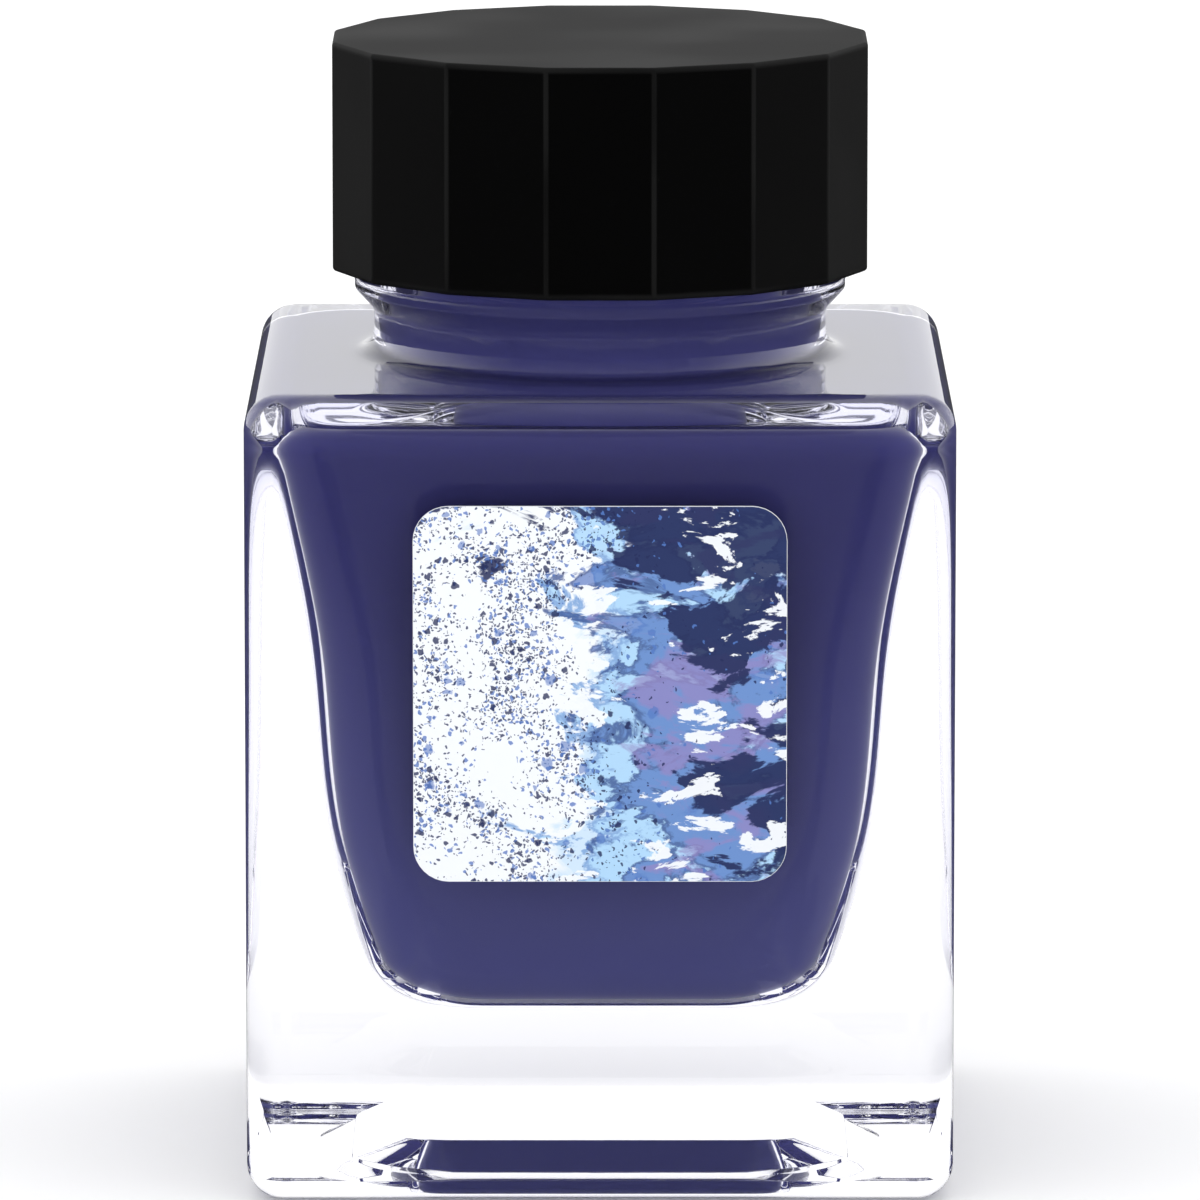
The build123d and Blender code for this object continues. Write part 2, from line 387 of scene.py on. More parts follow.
def rounded_path(points, steps=6):
    """A path in the (radius, height) plane. Each point is (radius, height, rounding of that corner)."""
    path = []
    last = len(points) - 1
    for index, (r, z, rounding) in enumerate(points):
        if index in (0, last) or rounding <= 0.0:
            path.append((r, z))
            continue
        before, after = points[index - 1], points[index + 1]
        arrive = unit(r - before[0], z - before[1])
        leave = unit(after[0] - r, after[1] - z)
        turn = math.acos(max(-1.0, min(1.0, arrive[0] * leave[0] + arrive[1] * leave[1])))
        side = 1.0 if arrive[0] * leave[1] - arrive[1] * leave[0] > 0.0 else -1.0
        reach = rounding * math.tan(turn / 2.0)
        start = (r - arrive[0] * reach, z - arrive[1] * reach)
        centre = (start[0] - arrive[1] * rounding * side, start[1] + arrive[0] * rounding * side)
        spoke = (start[0] - centre[0], start[1] - centre[1])
        for step in range(steps + 1):
            angle = turn * side * step / steps
            path.append(
                (
                    centre[0] + spoke[0] * math.cos(angle) - spoke[1] * math.sin(angle),
                    centre[1] + spoke[0] * math.sin(angle) + spoke[1] * math.cos(angle),
                )
            )
    return path


def unit(a, b):
    """A two-part vector made one long."""
    size = math.hypot(a, b)
    return a / size, b / size


def spaced(start, end, spacing):
    """Evenly spaced values after start, up to and with end."""
    steps = max(1, math.ceil(abs(end - start) / spacing))
    return [start + (end - start) * (i + 1) / steps for i in range(steps)]


# ---------------------------------------------------------------- shape of the glass


def well_stations(bottle):
    """(height, wall beside the well, corner radius) from the well's floor up to its ceiling."""
    return (
        (bottle.floor, bottle.wall_at_floor, bottle.floor_corner),
        (bottle.hip, bottle.wall_at_hip, bottle.side_corner),
        (bottle.waist, bottle.wall_at_waist, bottle.side_corner),
        (bottle.well_shoulder, bottle.wall_at_shoulder, bottle.top_corner),
        (bottle.shoulder - bottle.ceiling, bottle.wall_at_ceiling, bottle.top_corner),
    )


def natural_spline(knots, values):
    """A function through the values with no sudden change of curvature."""
    count = len(knots)
    gaps = [knots[i + 1] - knots[i] for i in range(count - 1)]
    bends = [0.0] * count
    upper, right = [0.0] * count, [0.0] * count
    for i in range(1, count - 1):
        slope = (values[i + 1] - values[i]) / gaps[i] - (values[i] - values[i - 1]) / gaps[i - 1]
        scale = 2.0 * (gaps[i - 1] + gaps[i]) - gaps[i - 1] * upper[i - 1]
        upper[i] = gaps[i] / scale
        right[i] = (6.0 * slope - gaps[i - 1] * right[i - 1]) / scale
    for i in range(count - 2, 0, -1):
        bends[i] = right[i] - upper[i] * bends[i + 1]

    def value_at(place):
        i = max(k for k in range(count - 1) if k == 0 or knots[k] <= place)
        gap = gaps[i]
        a, b = (knots[i + 1] - place) / gap, (place - knots[i]) / gap
        bend = ((a**3 - a) * bends[i] + (b**3 - b) * bends[i + 1]) * gap * gap / 6.0
        return a * values[i] + b * values[i + 1] + bend

    return value_at


class Well:
    """The hollow for the ink: a rounded square whose walls swell towards the shoulder."""

    def __init__(self, bottle, grow=0.0):
        stations = well_stations(bottle)
        heights = [s[0] for s in stations]
        self.half = natural_spline(heights, [bottle.half_width - s[1] + grow for s in stations])
        self.corner = natural_spline(heights, [s[2] + grow for s in stations])
        self.floor = bottle.floor - grow
        self.ceiling = bottle.shoulder - bottle.ceiling + grow
        self.floor_rounding = bottle.floor_rounding
        self.ceiling_rounding = bottle.ceiling_rounding

    def rolled_corner(self, flat, rounding, side):
        """Centre and touching height of a ball that rests on the flat and against the wall."""
        centre_z = flat + side * rounding
        samples = [centre_z - side * rounding * i / 60.0 for i in range(-30, 61)]

        def nearest(centre):
            gaps = [(math.hypot(self.half(z) - centre, z - centre_z), z) for z in samples]
            return min(gaps)

        low, high = 0.0, self.half(centre_z)
        for _ in range(40):
            middle = (low + high) / 2.0
            if nearest(middle)[0] > rounding:
                low = middle
            else:
                high = middle
        return low, centre_z, nearest(low)[1]

    def ring(self, half, z):
        """A ring set in from the wall, its corners tightened by the same amount."""
        inset = self.half(z) - half
        return half, max(self.corner(z) - inset, 0.4 * MM), z

    def rounded_end(self, flat, rounding, side, steps):
        """Rings round the corner between a flat and the wall, from the flat outwards."""
        centre, centre_z, touch = self.rolled_corner(flat, rounding, side)
        end = math.atan2((touch - centre_z) * side, self.half(touch) - centre)
        rings = []
        for step in range(steps + 1):
            angle = -math.pi / 2.0 + (end + math.pi / 2.0) * step / steps
            half = centre + rounding * math.cos(angle)
            rings.append(self.ring(half, centre_z + side * rounding * math.sin(angle)))
        return rings, touch

    def floor_rings(self):
        """Rings from the middle of the floor out to the foot of the wall."""
        rings, touch = self.rounded_end(self.floor, self.floor_rounding, 1.0, 16)
        half, corner, z = rings[0]
        flat = [(half * share, corner * share, z) for share in (0.1, 0.35, 0.6, 0.8, 0.93)]
        return flat + rings, touch

    def ceiling_rings(self, throat):
        """Rings from the throat out across the ceiling to the top of the wall."""
        rings, touch = self.rounded_end(self.ceiling, self.ceiling_rounding, -1.0, 8)
        half, corner, z = rings[0]
        flat = []
        for share in (0.15, 0.4, 0.65, 0.85, 0.95):
            flat.append((throat + (half - throat) * share, throat + (corner - throat) * share, z))
        return flat + rings, touch

    def wall_rings(self, low, high):
        """Rings up the wall between two heights."""
        return [(self.half(z), self.corner(z), z) for z in spaced(low, high, WALL_ROWS)[:-1]]

    def from_floor_to_ceiling(self, throat):
        """All the well's rings, from the middle of its floor to the edge of its throat."""
        floor, low = self.floor_rings()
        ceiling, high = self.ceiling_rings(throat)
        return floor + self.wall_rings(low, high) + ceiling[::-1]


def body_corner(half, bottle, round_inside):
    """Corner radius of the body's section: round near the axis, square under the rounded edges."""
    square = bottle.half_width - bottle.edge_radius
    if half >= square:
        return half - square
    if half <= round_inside:
        return half
    return half * (square - half) / (square - round_inside)


def foot_corner(half, bottle):
    """Corner radius under the base: it grows down the hollow's slope, then eases to the foot's edge."""
    square = bottle.half_width - bottle.edge_radius
    if half >= square:
        return half - square
    rim = bottle.push_up_rim
    if half >= rim:
        return bottle.push_up_rim_corner * (square - half) / (square - rim)
    share = (half - bottle.push_up_ceiling) / (rim - bottle.push_up_ceiling)
    return bottle.push_up_corner + (bottle.push_up_rim_corner - bottle.push_up_corner) * share


def push_up_rings(bottle):
    """Rings of the hollow under the base, from the middle of its ceiling to the foot."""
    ledge, low = bottle.push_up_ledge, bottle.push_up_low
    path = rounded_path(
        [
            (bottle.push_up_ceiling - 1.0 * MM, bottle.push_up_height, 0.0),
            (bottle.push_up_ceiling, bottle.push_up_height, 0.8 * MM),
            (ledge - 0.05 * MM, low + bottle.push_up_step, 0.04 * MM),
            (ledge, low, 0.04 * MM),
            (bottle.push_up_rim, 0.0, 0.6 * MM),
            (bottle.push_up_rim + 0.6 * MM, 0.0, 0.0),
        ],
        5,
    )
    half, z = path[0]
    flat = [(half * share, foot_corner(half, bottle) * share, z) for share in (0.1, 0.35, 0.6, 0.85)]
    return flat + [(r, foot_corner(r, bottle), z) for r, z in path]


def outer_rings(bottle):
    """Rings over the outside of the glass, from the foot to the neck."""
    width, shoulder, edge = bottle.half_width, bottle.shoulder, bottle.edge_radius
    rim, neck_reach = bottle.push_up_rim, bottle.lower_neck + bottle.neck_foot
    support = 0.35 * MM
    rings = []
    corners = [(rim, 0.0, 0.0), (width, 0.0, edge), (width, shoulder, edge), (0.0, shoulder, 0.0)]
    side = rounded_path(corners, 10)
    lower, upper = side[1:12], side[12:-1]
    rings.extend((r, foot_corner(r, bottle), z) for r, z in lower)
    walls = (edge + support, shoulder * 0.3, shoulder * 0.5, shoulder * 0.7, shoulder - edge - support)
    rings.extend((width, edge, z) for z in walls)
    rings.extend((r, body_corner(r, bottle, neck_reach), z) for r, z in upper)
    for r in (width - edge - support, width - edge - 1.4 * MM, neck_reach + 1.0 * MM, neck_reach + support):
        rings.append((r, body_corner(r, bottle, neck_reach), shoulder))
    return rings


def neck_path(bottle):
    """The neck's outline from its foot to the mouth, as (radius, height)."""
    shoulder = bottle.shoulder
    bead_foot = shoulder + bottle.bead_foot
    bead_low = bead_foot + bottle.bead_slope
    bead_high = bead_low + bottle.bead_land
    bead_top = bead_high + bottle.bead_top
    below_rim = bottle.rim - RIM_DEPTH
    foot = rounded_path(
        [
            (bottle.lower_neck + bottle.neck_foot + 0.2 * MM, shoulder, 0.0),
            (bottle.lower_neck, shoulder, bottle.neck_foot),
            (bottle.lower_neck, bead_foot, 0.8 * MM),
            (bottle.bead_radius, bead_low, 0.35 * MM),
            (bottle.bead_radius, bead_high, 0.35 * MM),
            (bottle.upper_neck, bead_top, 0.3 * MM),
            (bottle.upper_neck, bead_top + 0.4 * MM, 0.0),
        ]
    )
    rim = rounded_path(
        [
            (bottle.upper_neck, below_rim, 0.0),
            (bottle.upper_neck, bottle.rim, bottle.rim_rounding),
            (bottle.mouth, bottle.rim, bottle.rim_rounding),
            (bottle.mouth, below_rim, 0.0),
        ]
    )
    return foot[1:], rim


def make_glass(bottle):
    """The bottle's mesh before its thread is raised."""
    directions = all_round(quadrant_angles())
    rings = push_up_rings(bottle) + outer_rings(bottle)
    foot, rim = neck_path(bottle)
    rings.extend((r, r, z) for r, z in foot)
    first_thread_ring = len(rings)
    thread_heights = spaced(foot[-1][1], rim[0][1], NECK_THREAD_ROWS)
    rings.extend((bottle.upper_neck, bottle.upper_neck, z) for z in thread_heights[:-1])
    last_thread_ring = len(rings)
    rings.extend((r, r, z) for r, z in rim)
    well = Well(bottle)
    throat = bottle.mouth + bottle.throat_rounding
    bore = rounded_path(
        [
            (bottle.mouth, bottle.rim - RIM_DEPTH, 0.0),
            (bottle.mouth, well.ceiling, bottle.throat_rounding),
            (throat + 0.1 * MM, well.ceiling, 0.0),
        ]
    )
    rings.extend((bottle.mouth, bottle.mouth, z) for z in spaced(rim[-1][1], bore[1][1], 1.0 * MM)[:-1])
    rings.extend((r, r, z) for r, z in bore[1:])
    rings.extend(well.from_floor_to_ceiling(throat + 0.1 * MM)[::-1])
    band = [1.0 if first_thread_ring <= i < last_thread_ring else 0.0 for i in range(len(rings))]
    return skin("glass_body", rings, directions, bottle.push_up_height, well.floor, {"thread_band": band})


# ---------------------------------------------------------------- thread and cap by geometry nodes


def finish_tree(tree, geometry, material, result):
    """Ends a geometry node tree: plain mesh, dressed in its material."""
    whole = node(tree, "GeometryNodeRealizeInstances", {0: geometry}).outputs[0]
    dressed = node(tree, "GeometryNodeSetMaterial", {"Geometry": whole, "Material": material})
    tree.links.new(dressed.outputs[0], result.inputs[0])


def helical_thread_tree():
    """Raises a helical ridge from the part of a mesh that its thread_band attribute marks."""
    tree, source, result = new_tree(
        "Helical Thread",
        "GeometryNodeTree",
        (
            ("Geometry", "NodeSocketGeometry"),
            ("Pitch", "NodeSocketFloat", 0.004),
            ("Start Height", "NodeSocketFloat", 0.0),
            ("End Height", "NodeSocketFloat", 0.01),
            ("Root Width", "NodeSocketFloat", 0.002),
            ("Crest Width", "NodeSocketFloat", 0.001),
            ("Ridge Height", "NodeSocketFloat", 0.001),
            ("Phase", "NodeSocketFloat", 0.0),
            ("Run-out", "NodeSocketFloat", 0.06),
            ("Material", "NodeSocketMaterial"),
        ),
        (("Geometry", "NodeSocketGeometry"),),
    )
    given = source.outputs
    place = parts_of(tree, node(tree, "GeometryNodeInputPosition").outputs[0])
    turn = maths(tree, "DIVIDE", maths(tree, "ARCTAN2", place[1], place[0]), math.tau)
    turn = maths(tree, "SUBTRACT", turn, given["Phase"])
    climb = maths(tree, "DIVIDE", maths(tree, "SUBTRACT", place[2], given["Start Height"]), given["Pitch"])
    lead = maths(tree, "SUBTRACT", climb, turn)
    whole = maths(tree, "ROUND", lead)
    aside = times(tree, maths(tree, "ABSOLUTE", maths(tree, "SUBTRACT", lead, whole)), given["Pitch"])
    half_root = times(tree, given["Root Width"], 0.5)
    half_crest = times(tree, given["Crest Width"], 0.5)
    ridge = smooth(tree, aside, half_root, half_crest)
    along = maths(tree, "ADD", whole, turn)
    span = maths(tree, "SUBTRACT", given["End Height"], given["Start Height"])
    turns = maths(tree, "DIVIDE", span, given["Pitch"])
    left = maths(tree, "SUBTRACT", turns, along)
    ends = times(tree, smooth(tree, along, 0.0, given["Run-out"]), smooth(tree, left, 0.0, given["Run-out"]))
    band = node(tree, "GeometryNodeInputNamedAttribute", {"Name": "thread_band"}, data_type="FLOAT")
    height = times(tree, times(tree, ridge, ends), given["Ridge Height"])
    height = times(tree, height, band.outputs[0])
    outward = node(tree, "ShaderNodeCombineXYZ", {0: place[0], 1: place[1]}).outputs[0]
    outward = node(tree, "ShaderNodeVectorMath", {0: outward}, operation="NORMALIZE").outputs[0]
    offset = node(tree, "ShaderNodeVectorMath", {0: outward, "Scale": height}, operation="SCALE").outputs[0]
    moved = node(tree, "GeometryNodeSetPosition", {"Geometry": given["Geometry"], "Offset": offset})
    finish_tree(tree, moved.outputs[0], given["Material"], result)
    return tree


def faceted_cap_tree(thread_tree):
    """Repeats one facet of the cap round the axis, welds the copies and raises the thread inside."""
    shared = [item for item in thread_tree.interface.items_tree if item.in_out == "INPUT"][1:]
    tree, source, result = new_tree(
        "Faceted Cap",
        "GeometryNodeTree",
        (("Facet", "NodeSocketGeometry"), ("Facets", "NodeSocketInt", 16), ("Weld", "NodeSocketFloat", 1e-6))
        + tuple((item.name, item.socket_type) for item in shared),
        (("Geometry", "NodeSocketGeometry"),),
    )
    given = source.outputs
    line = node(tree, "GeometryNodeMeshLine", {"Count": given["Facets"], "Offset": (0.0, 0.0, 0.0)})
    step = maths(tree, "DIVIDE", math.tau, given["Facets"])
    angle = times(tree, node(tree, "GeometryNodeInputIndex").outputs[0], step)
    spin = node(tree, "ShaderNodeCombineXYZ", {2: angle})
    copies = node(
        tree,
        "GeometryNodeInstanceOnPoints",
        {"Points": line.outputs[0], "Instance": given["Facet"], "Rotation": spin.outputs[0]},
    )
    whole = node(tree, "GeometryNodeRealizeInstances", {0: copies.outputs[0]}).outputs[0]
    welded = node(tree, "GeometryNodeMergeByDistance", {"Geometry": whole, "Distance": given["Weld"]})
    threaded = tree.nodes.new("GeometryNodeGroup")
    threaded.node_tree = thread_tree
    tree.links.new(welded.outputs[0], threaded.inputs[0])
    for item in shared:
        tree.links.new(given[item.name], threaded.inputs[item.name])
    finish_tree(tree, threaded.outputs[0], given["Material"], result)
    return tree


def grown(name, source, tree, values):
    """A plain mesh object made by running a geometry node tree on the source, which is then removed."""
    modifier = source.modifiers.new("shape", "NODES")
    modifier.node_group = tree
    for item in tree.interface.items_tree:
        if item.in_out == "INPUT" and item.name in values:
            modifier[item.identifier] = values[item.name]
    bpy.context.view_layer.update()
    evaluated = source.evaluated_get(bpy.context.evaluated_depsgraph_get())
    data = bpy.data.meshes.new_from_object(evaluated)
    data.name = name
    bpy.data.objects.remove(source)
    piece = bpy.data.objects.new(name, data)
    bpy.context.scene.collection.objects.link(piece)
    return piece


def thread_values(bottle, thread, material):
    """The thread tree's inputs for the neck."""
    return {
        "Pitch": thread.pitch,
        "Start Height": bottle.shoulder + thread.start,
        "End Height": bottle.rim - thread.below_rim,
        "Root Width": thread.root_width,
        "Crest Width": thread.crest_width,
        "Ridge Height": thread.ridge,
        "Phase": 0.0,
        "Run-out": thread.run_out,
        "Material": material,
    }


def facet_columns(cap):
    """Angles across one facet and the reach at each, for a cap whose flats are one from the axis."""
    half_turn = math.pi / cap.facets
    rounding = cap.edge_rounding / cap.flat_radius
    flat_end = (1.0 - rounding) * math.tan(half_turn)
    bend = []
    for step in range(4):
        angle = half_turn * step / 3.0
        bend.append((1.0 - rounding + rounding * math.cos(angle), flat_end + rounding * math.sin(angle)))
    flat = [(1.0, flat_end * share) for share in (-0.97, -0.66, -0.33, 0.0, 0.33, 0.66, 0.97)]
    return [(x, -y) for x, y in bend[::-1]] + flat + bend


def cap_rows(cap):
    """(radius, roundness, height, edge, thread) from the top's middle over the facet and up the bore. Edge
    marks the rounded rows that take a painted sheen.
    """
    top, bottom, flat, bore = cap_high.z, cap_low.z, cap.flat_radius, cap.bore
    seat = liner_high.z
    rows = [(flat * share, 0.0, top, 0.0, 0.0) for share in (0.08, 0.3, 0.55, 0.78, 0.92)]
    outside = rounded_path(
        [
            (0.0, top, 0.0),
            (flat, top, cap.top_rounding),
            (flat, bottom, cap.rim_rounding),
            (bore, bottom, 0.0),
        ],
        5,
    )
    support = 0.18 * MM
    rows.append((flat - cap.top_rounding - support, 0.0, top, 0.0, 0.0))
    rows.extend((r, 0.0, z, 1.0, 0.0) for r, z in outside[1:7])
    rows.extend(
        (flat, 0.0, z, 0.0, 0.0)
        for z in (top - cap.top_rounding - support, (top + bottom) / 2.0, bottom + cap.rim_rounding + support)
    )
    rows.extend((r, 0.0, z, 1.0, 0.0) for r, z in outside[7:13])
    rows.append((flat - cap.rim_rounding - support, 0.0, bottom, 0.0, 0.0))
    rows.append((bore + 0.6 * MM, 1.0, bottom, 0.0, 0.0))
    inside = rounded_path(
        [
            (bore + 0.6 * MM, bottom, 0.0),
            (bore, bottom, 0.25 * MM),
            (bore, seat, 0.4 * MM),
            (0.0, seat, 0.0),
        ],
        4,
    )
    rows.extend((r, 1.0, z, 0.0, 0.0) for r, z in inside[1:6])
    rows.extend((bore, 1.0, z, 0.0, 1.0) for z in spaced(inside[5][1], inside[6][1], BORE_THREAD_ROWS)[:-1])
    rows.extend((r, 1.0, z, 0.0, 0.0) for r, z in inside[6:11])
    rows.extend((bore * share, 1.0, seat, 0.0, 0.0) for share in (0.8, 0.5, 0.2))
    return rows


def make_facet(cap):
    """One facet of the cap with its share of the top, the rim and the bore."""
    mesh = bmesh.new()
    # The first layer marks the cap's edges, where its material paints a lighter sheen that stands in for
    # highlights.
    edge_layer = mesh.verts.layers.float.new("rubbed_edge")
    band_layer = mesh.verts.layers.float.new("thread_band")
    columns = facet_columns(cap)
    last = len(columns) - 1
    grid = []
    for radius, roundness, height, edge, band in cap_rows(cap):
        row = []
        for index, (x, y) in enumerate(columns):
            reach = math.hypot(x, y)
            scale = radius * (1.0 + (1.0 / reach - 1.0) * roundness)
            vertex = mesh.verts.new((x * scale, y * scale, height))
            upright = 1.0 if (index <= 3 or index >= last - 3) and radius == cap.flat_radius else 0.0
            vertex[edge_layer] = max(edge, upright)
            vertex[band_layer] = band
            row.append(vertex)
        grid.append(row)
    for upper, lower in zip(grid, grid[1:]):
        for i in range(last):
            mesh.faces.new((upper[i], upper[i + 1], lower[i + 1], lower[i]))
    for row, height in ((grid[0], cap_high.z), (grid[-1], liner_high.z)):
        pole = mesh.verts.new((0.0, 0.0, height))
        for i in range(last):
            mesh.faces.new((row[i], row[i + 1], pole))
    return finish_mesh("cap_facet", mesh)


# ---------------------------------------------------------------- materials


def new_material(name, values):
    """An empty node material and its Principled shader, with the shader's plain values."""
    material = bpy.data.materials.new(name)
    material.use_nodes = True
    tree = material.node_tree
    tree.nodes.clear()
    surface = tree.nodes.new("ShaderNodeBsdfPrincipled")
    output = tree.nodes.new("ShaderNodeOutputMaterial")
    tree.links.new(surface.outputs[0], output.inputs["Surface"])
    for key, value in values.items():
        surface.inputs[key].default_value = value
    return material, tree, surface


def place_on_object(tree):
    """Object coordinates, in metres."""
    return node(tree, "ShaderNodeTexCoord").outputs["Object"]


def moulded_surface_group():
    """Fine unevenness of a moulded surface: a height, and a slow drift from 0 to 1."""
    tree, source, result = new_tree(
        "Moulded Surface",
        "ShaderNodeTree",
        (
            ("Place", "NodeSocketVector"),
            ("Grain Scale", "NodeSocketFloat", 4000.0),
            ("Drift Scale", "NodeSocketFloat", 60.0),
            ("Grain Share", "NodeSocketFloat", 0.5),
        ),
        (("Height", "NodeSocketFloat"), ("Drift", "NodeSocketFloat")),
    )
    given = source.outputs
    grain = noise(tree, given["Place"], given["Grain Scale"], 2.0)
    drift = noise(tree, given["Place"], given["Drift Scale"], 1.0)
    height = node(tree, "ShaderNodeMix", {0: given["Grain Share"], 2: drift, 3: grain}, data_type="FLOAT")
    tree.links.new(height.outputs[0], result.inputs["Height"])
    tree.links.new(drift, result.inputs["Drift"])
    return tree


def moulded(tree, grain, drift, share):
    """Places the moulded surface group, which all the moulded materials share."""
    group = shared_tree("Moulded Surface", moulded_surface_group)
    values = {"Grain Scale": grain, "Drift Scale": drift, "Grain Share": share}
    return placed(tree, group, {"Place": place_on_object(tree), **values})


def noise(tree, place, scale, detail):
    """The value of a Noise texture."""
    made = node(tree, "ShaderNodeTexNoise", {"Vector": place, "Scale": scale, "Detail": detail})
    return made.outputs[0]


def bumped(tree, surface, height, strength, distance):
    """Feeds a height to the shader's normal."""
    bump = node(tree, "ShaderNodeBump", {"Height": height, "Strength": strength, "Distance": distance})
    tree.links.new(bump.outputs[0], surface.inputs["Normal"])


def glass_material():
    """Clear flint glass with a faint cool tint and slightly uneven faces."""
    tint = (0.972, 0.972, 1.0, 1.0)
    values = {"Base Color": tint, "Roughness": 0.0, "IOR": GLASS_IOR, "Transmission Weight": 1.0}
    material, tree, surface = new_material("clear_glass", values)
    uneven = moulded(tree, 700.0, 120.0, 0.15)
    bumped(tree, surface, uneven["Height"], 0.12, 0.00005)
    return material


def ink_material(settings):
    """Ink seen through the glass that it wets, painted lighter towards the floor and in the neck to stand in
    for light.
    """
    values = {"Roughness": 0.03, "Specular IOR Level": 0.1}
    material, tree, surface = new_material("ink_behind_glass", values)
    height = parts_of(tree, place_on_object(tree))[2]
    lower = tuple(settings.lower_painted_light_colour)
    upper = tuple(settings.upper_colour)
    # Painted light: the colour lightens towards the floor and again in the neck.
    neck_foot, neck_bead = ink_high.z - 9.0 * MM, ink_high.z - 7.0 * MM
    rise = smooth(tree, height, ink_low.z, neck_foot - 3.0 * MM)
    body = blend_colours(tree, rise, lower, upper)
    neck = smooth(tree, height, neck_foot, neck_bead)
    body = blend_colours(tree, neck, body, tuple(settings.neck_painted_light_colour))
    mirror = node(tree, "ShaderNodeFresnel", {"IOR": INK_UNDER_GLASS_IOR}).outputs[0]
    colour = blend_colours(tree, mirror, body, (0.95, 0.95, 1.0, 1.0))
    tree.links.new(colour, surface.inputs["Base Color"])
    tree.links.new(mirror, surface.inputs["Metallic"])
    return material


def ink_surface_material(settings):
    """The open surface of the ink."""
    material, tree, surface = new_material("ink_surface", {"Roughness": 0.02, "IOR": INK_IOR})
    drift = moulded(tree, 900.0, 150.0, 0.2)
    colour = blend_colours(tree, drift["Drift"], tuple(settings.upper_colour), tuple(settings.lower_painted_light_colour))
    tree.links.new(colour, surface.inputs["Base Color"])
    return material


def cap_material(settings):
    """Satin black plastic, with a painted sheen that makes its edges a little lighter."""
    material, tree, surface = new_material("black_plastic", {"Specular IOR Level": 0.07})
    # Painted sheen: in patches along the marked edges the colour lightens, standing in for highlights there.
    painted_sheen = node(tree, "ShaderNodeAttribute", attribute_name="rubbed_edge").outputs["Fac"]
    uneven = moulded(tree, 3500.0, 90.0, 0.7)
    sheen_patch = times(tree, painted_sheen, smooth(tree, uneven["Drift"], 0.2, 0.6))
    colour = blend_colours(tree, sheen_patch, tuple(settings.colour), tuple(settings.painted_sheen))
    tree.links.new(colour, surface.inputs["Base Color"])
    rough = smooth(tree, uneven["Drift"], 0.3, 0.7, settings.roughness - 0.04, settings.roughness + 0.04)
    tree.links.new(rough, surface.inputs["Roughness"])
    bumped(tree, surface, uneven["Height"], 0.08, 0.00004)
    return material


def liner_material(settings):
    """White closed-cell foam."""
    material, tree, surface = new_material("foam_liner", {"Roughness": 0.75})
    cells = node(tree, "ShaderNodeTexVoronoi", {"Vector": place_on_object(tree), "Scale": 2600.0})
    shadow = smooth(tree, cells.outputs["Distance"], 0.0, 0.6, 0.8, 1.0)
    colour = blend_colours(tree, 1.0, tuple(settings.colour), shadow, "MULTIPLY")
    tree.links.new(colour, surface.inputs["Base Color"])
    bumped(tree, surface, cells.outputs["Distance"], 0.3, 0.0001)
    return material


def wash_group():
    """One wash of watercolour: where it lies, from 0 to 1, with its pigment gathered along the edge."""
    tree, source, result = new_tree(
        "Watercolour Wash",
        "ShaderNodeTree",
        (
            ("Place", "NodeSocketVector"),
            ("Scale", "NodeSocketFloat", 3.0),
            ("Seed", "NodeSocketFloat", 0.0),
            ("Bias", "NodeSocketFloat", 0.0),
            ("Threshold", "NodeSocketFloat", 0.5),
            ("Softness", "NodeSocketFloat", 0.02),
        ),
        (("Cover", "NodeSocketFloat"), ("Edge", "NodeSocketFloat")),
    )
    given = source.outputs
    cloud = node(
        tree,
        "ShaderNodeTexNoise",
        {
            "Vector": given["Place"],
            "W": given["Seed"],
            "Scale": given["Scale"],
            "Detail": 6.0,
            "Roughness": 0.6,
            "Distortion": 0.6,
        },
        noise_dimensions="4D",
    ).outputs[0]
    level = maths(tree, "ADD", cloud, given["Bias"])
    far = maths(tree, "ADD", given["Threshold"], given["Softness"])
    cover = smooth(tree, level, given["Threshold"], far)
    rim = maths(tree, "ADD", far, 0.035)
    edge = times(tree, cover, smooth(tree, level, rim, far))
    tree.links.new(cover, result.inputs["Cover"])
    tree.links.new(edge, result.inputs["Edge"])
    return tree


def specks_group():
    """Round specks of ink, fewer or more by density."""
    tree, source, result = new_tree(
        "Ink Specks",
        "ShaderNodeTree",
        (
            ("Place", "NodeSocketVector"),
            ("Scale", "NodeSocketFloat", 40.0),
            ("Size", "NodeSocketFloat", 0.3),
            ("Density", "NodeSocketFloat", 0.4),
        ),
        (("Cover", "NodeSocketFloat"),),
    )
    given = source.outputs
    place = given["Place"]
    wobble = node(tree, "ShaderNodeTexNoise", {"Vector": place, "Scale": 60.0, "Detail": 1.0}).outputs[1]
    bent = node(tree, "ShaderNodeMix", {0: 0.02, 4: place, 5: wobble}, data_type="VECTOR").outputs[1]
    spacing = {"Vector": bent, "Scale": given["Scale"]}
    cells = node(tree, "ShaderNodeTexVoronoi", spacing, voronoi_dimensions="2D")
    draw = node(tree, "ShaderNodeSeparateColor", {0: cells.outputs["Color"]}).outputs
    kept = maths(tree, "LESS_THAN", draw[0], given["Density"])
    size = times(tree, given["Size"], maths(tree, "ADD", draw[1], 0.3))
    inner = times(tree, size, 0.7)
    dot = smooth(tree, cells.outputs["Distance"], size, inner)
    tree.links.new(times(tree, dot, kept), result.inputs["Cover"])
    return tree


def wash(tree, group, place, scale, seed, bias, threshold, softness):
    """Places one wash and returns its outputs."""
    values = {"Place": place, "Scale": scale, "Seed": seed, "Bias": bias}
    values.update({"Threshold": threshold, "Softness": softness})
    return placed(tree, group, values)


def specks(tree, group, place, scale, size, density):
    """Places one layer of specks and returns its cover."""
    return placed(tree, group, {"Place": place, "Scale": scale, "Size": size, "Density": density})["Cover"]


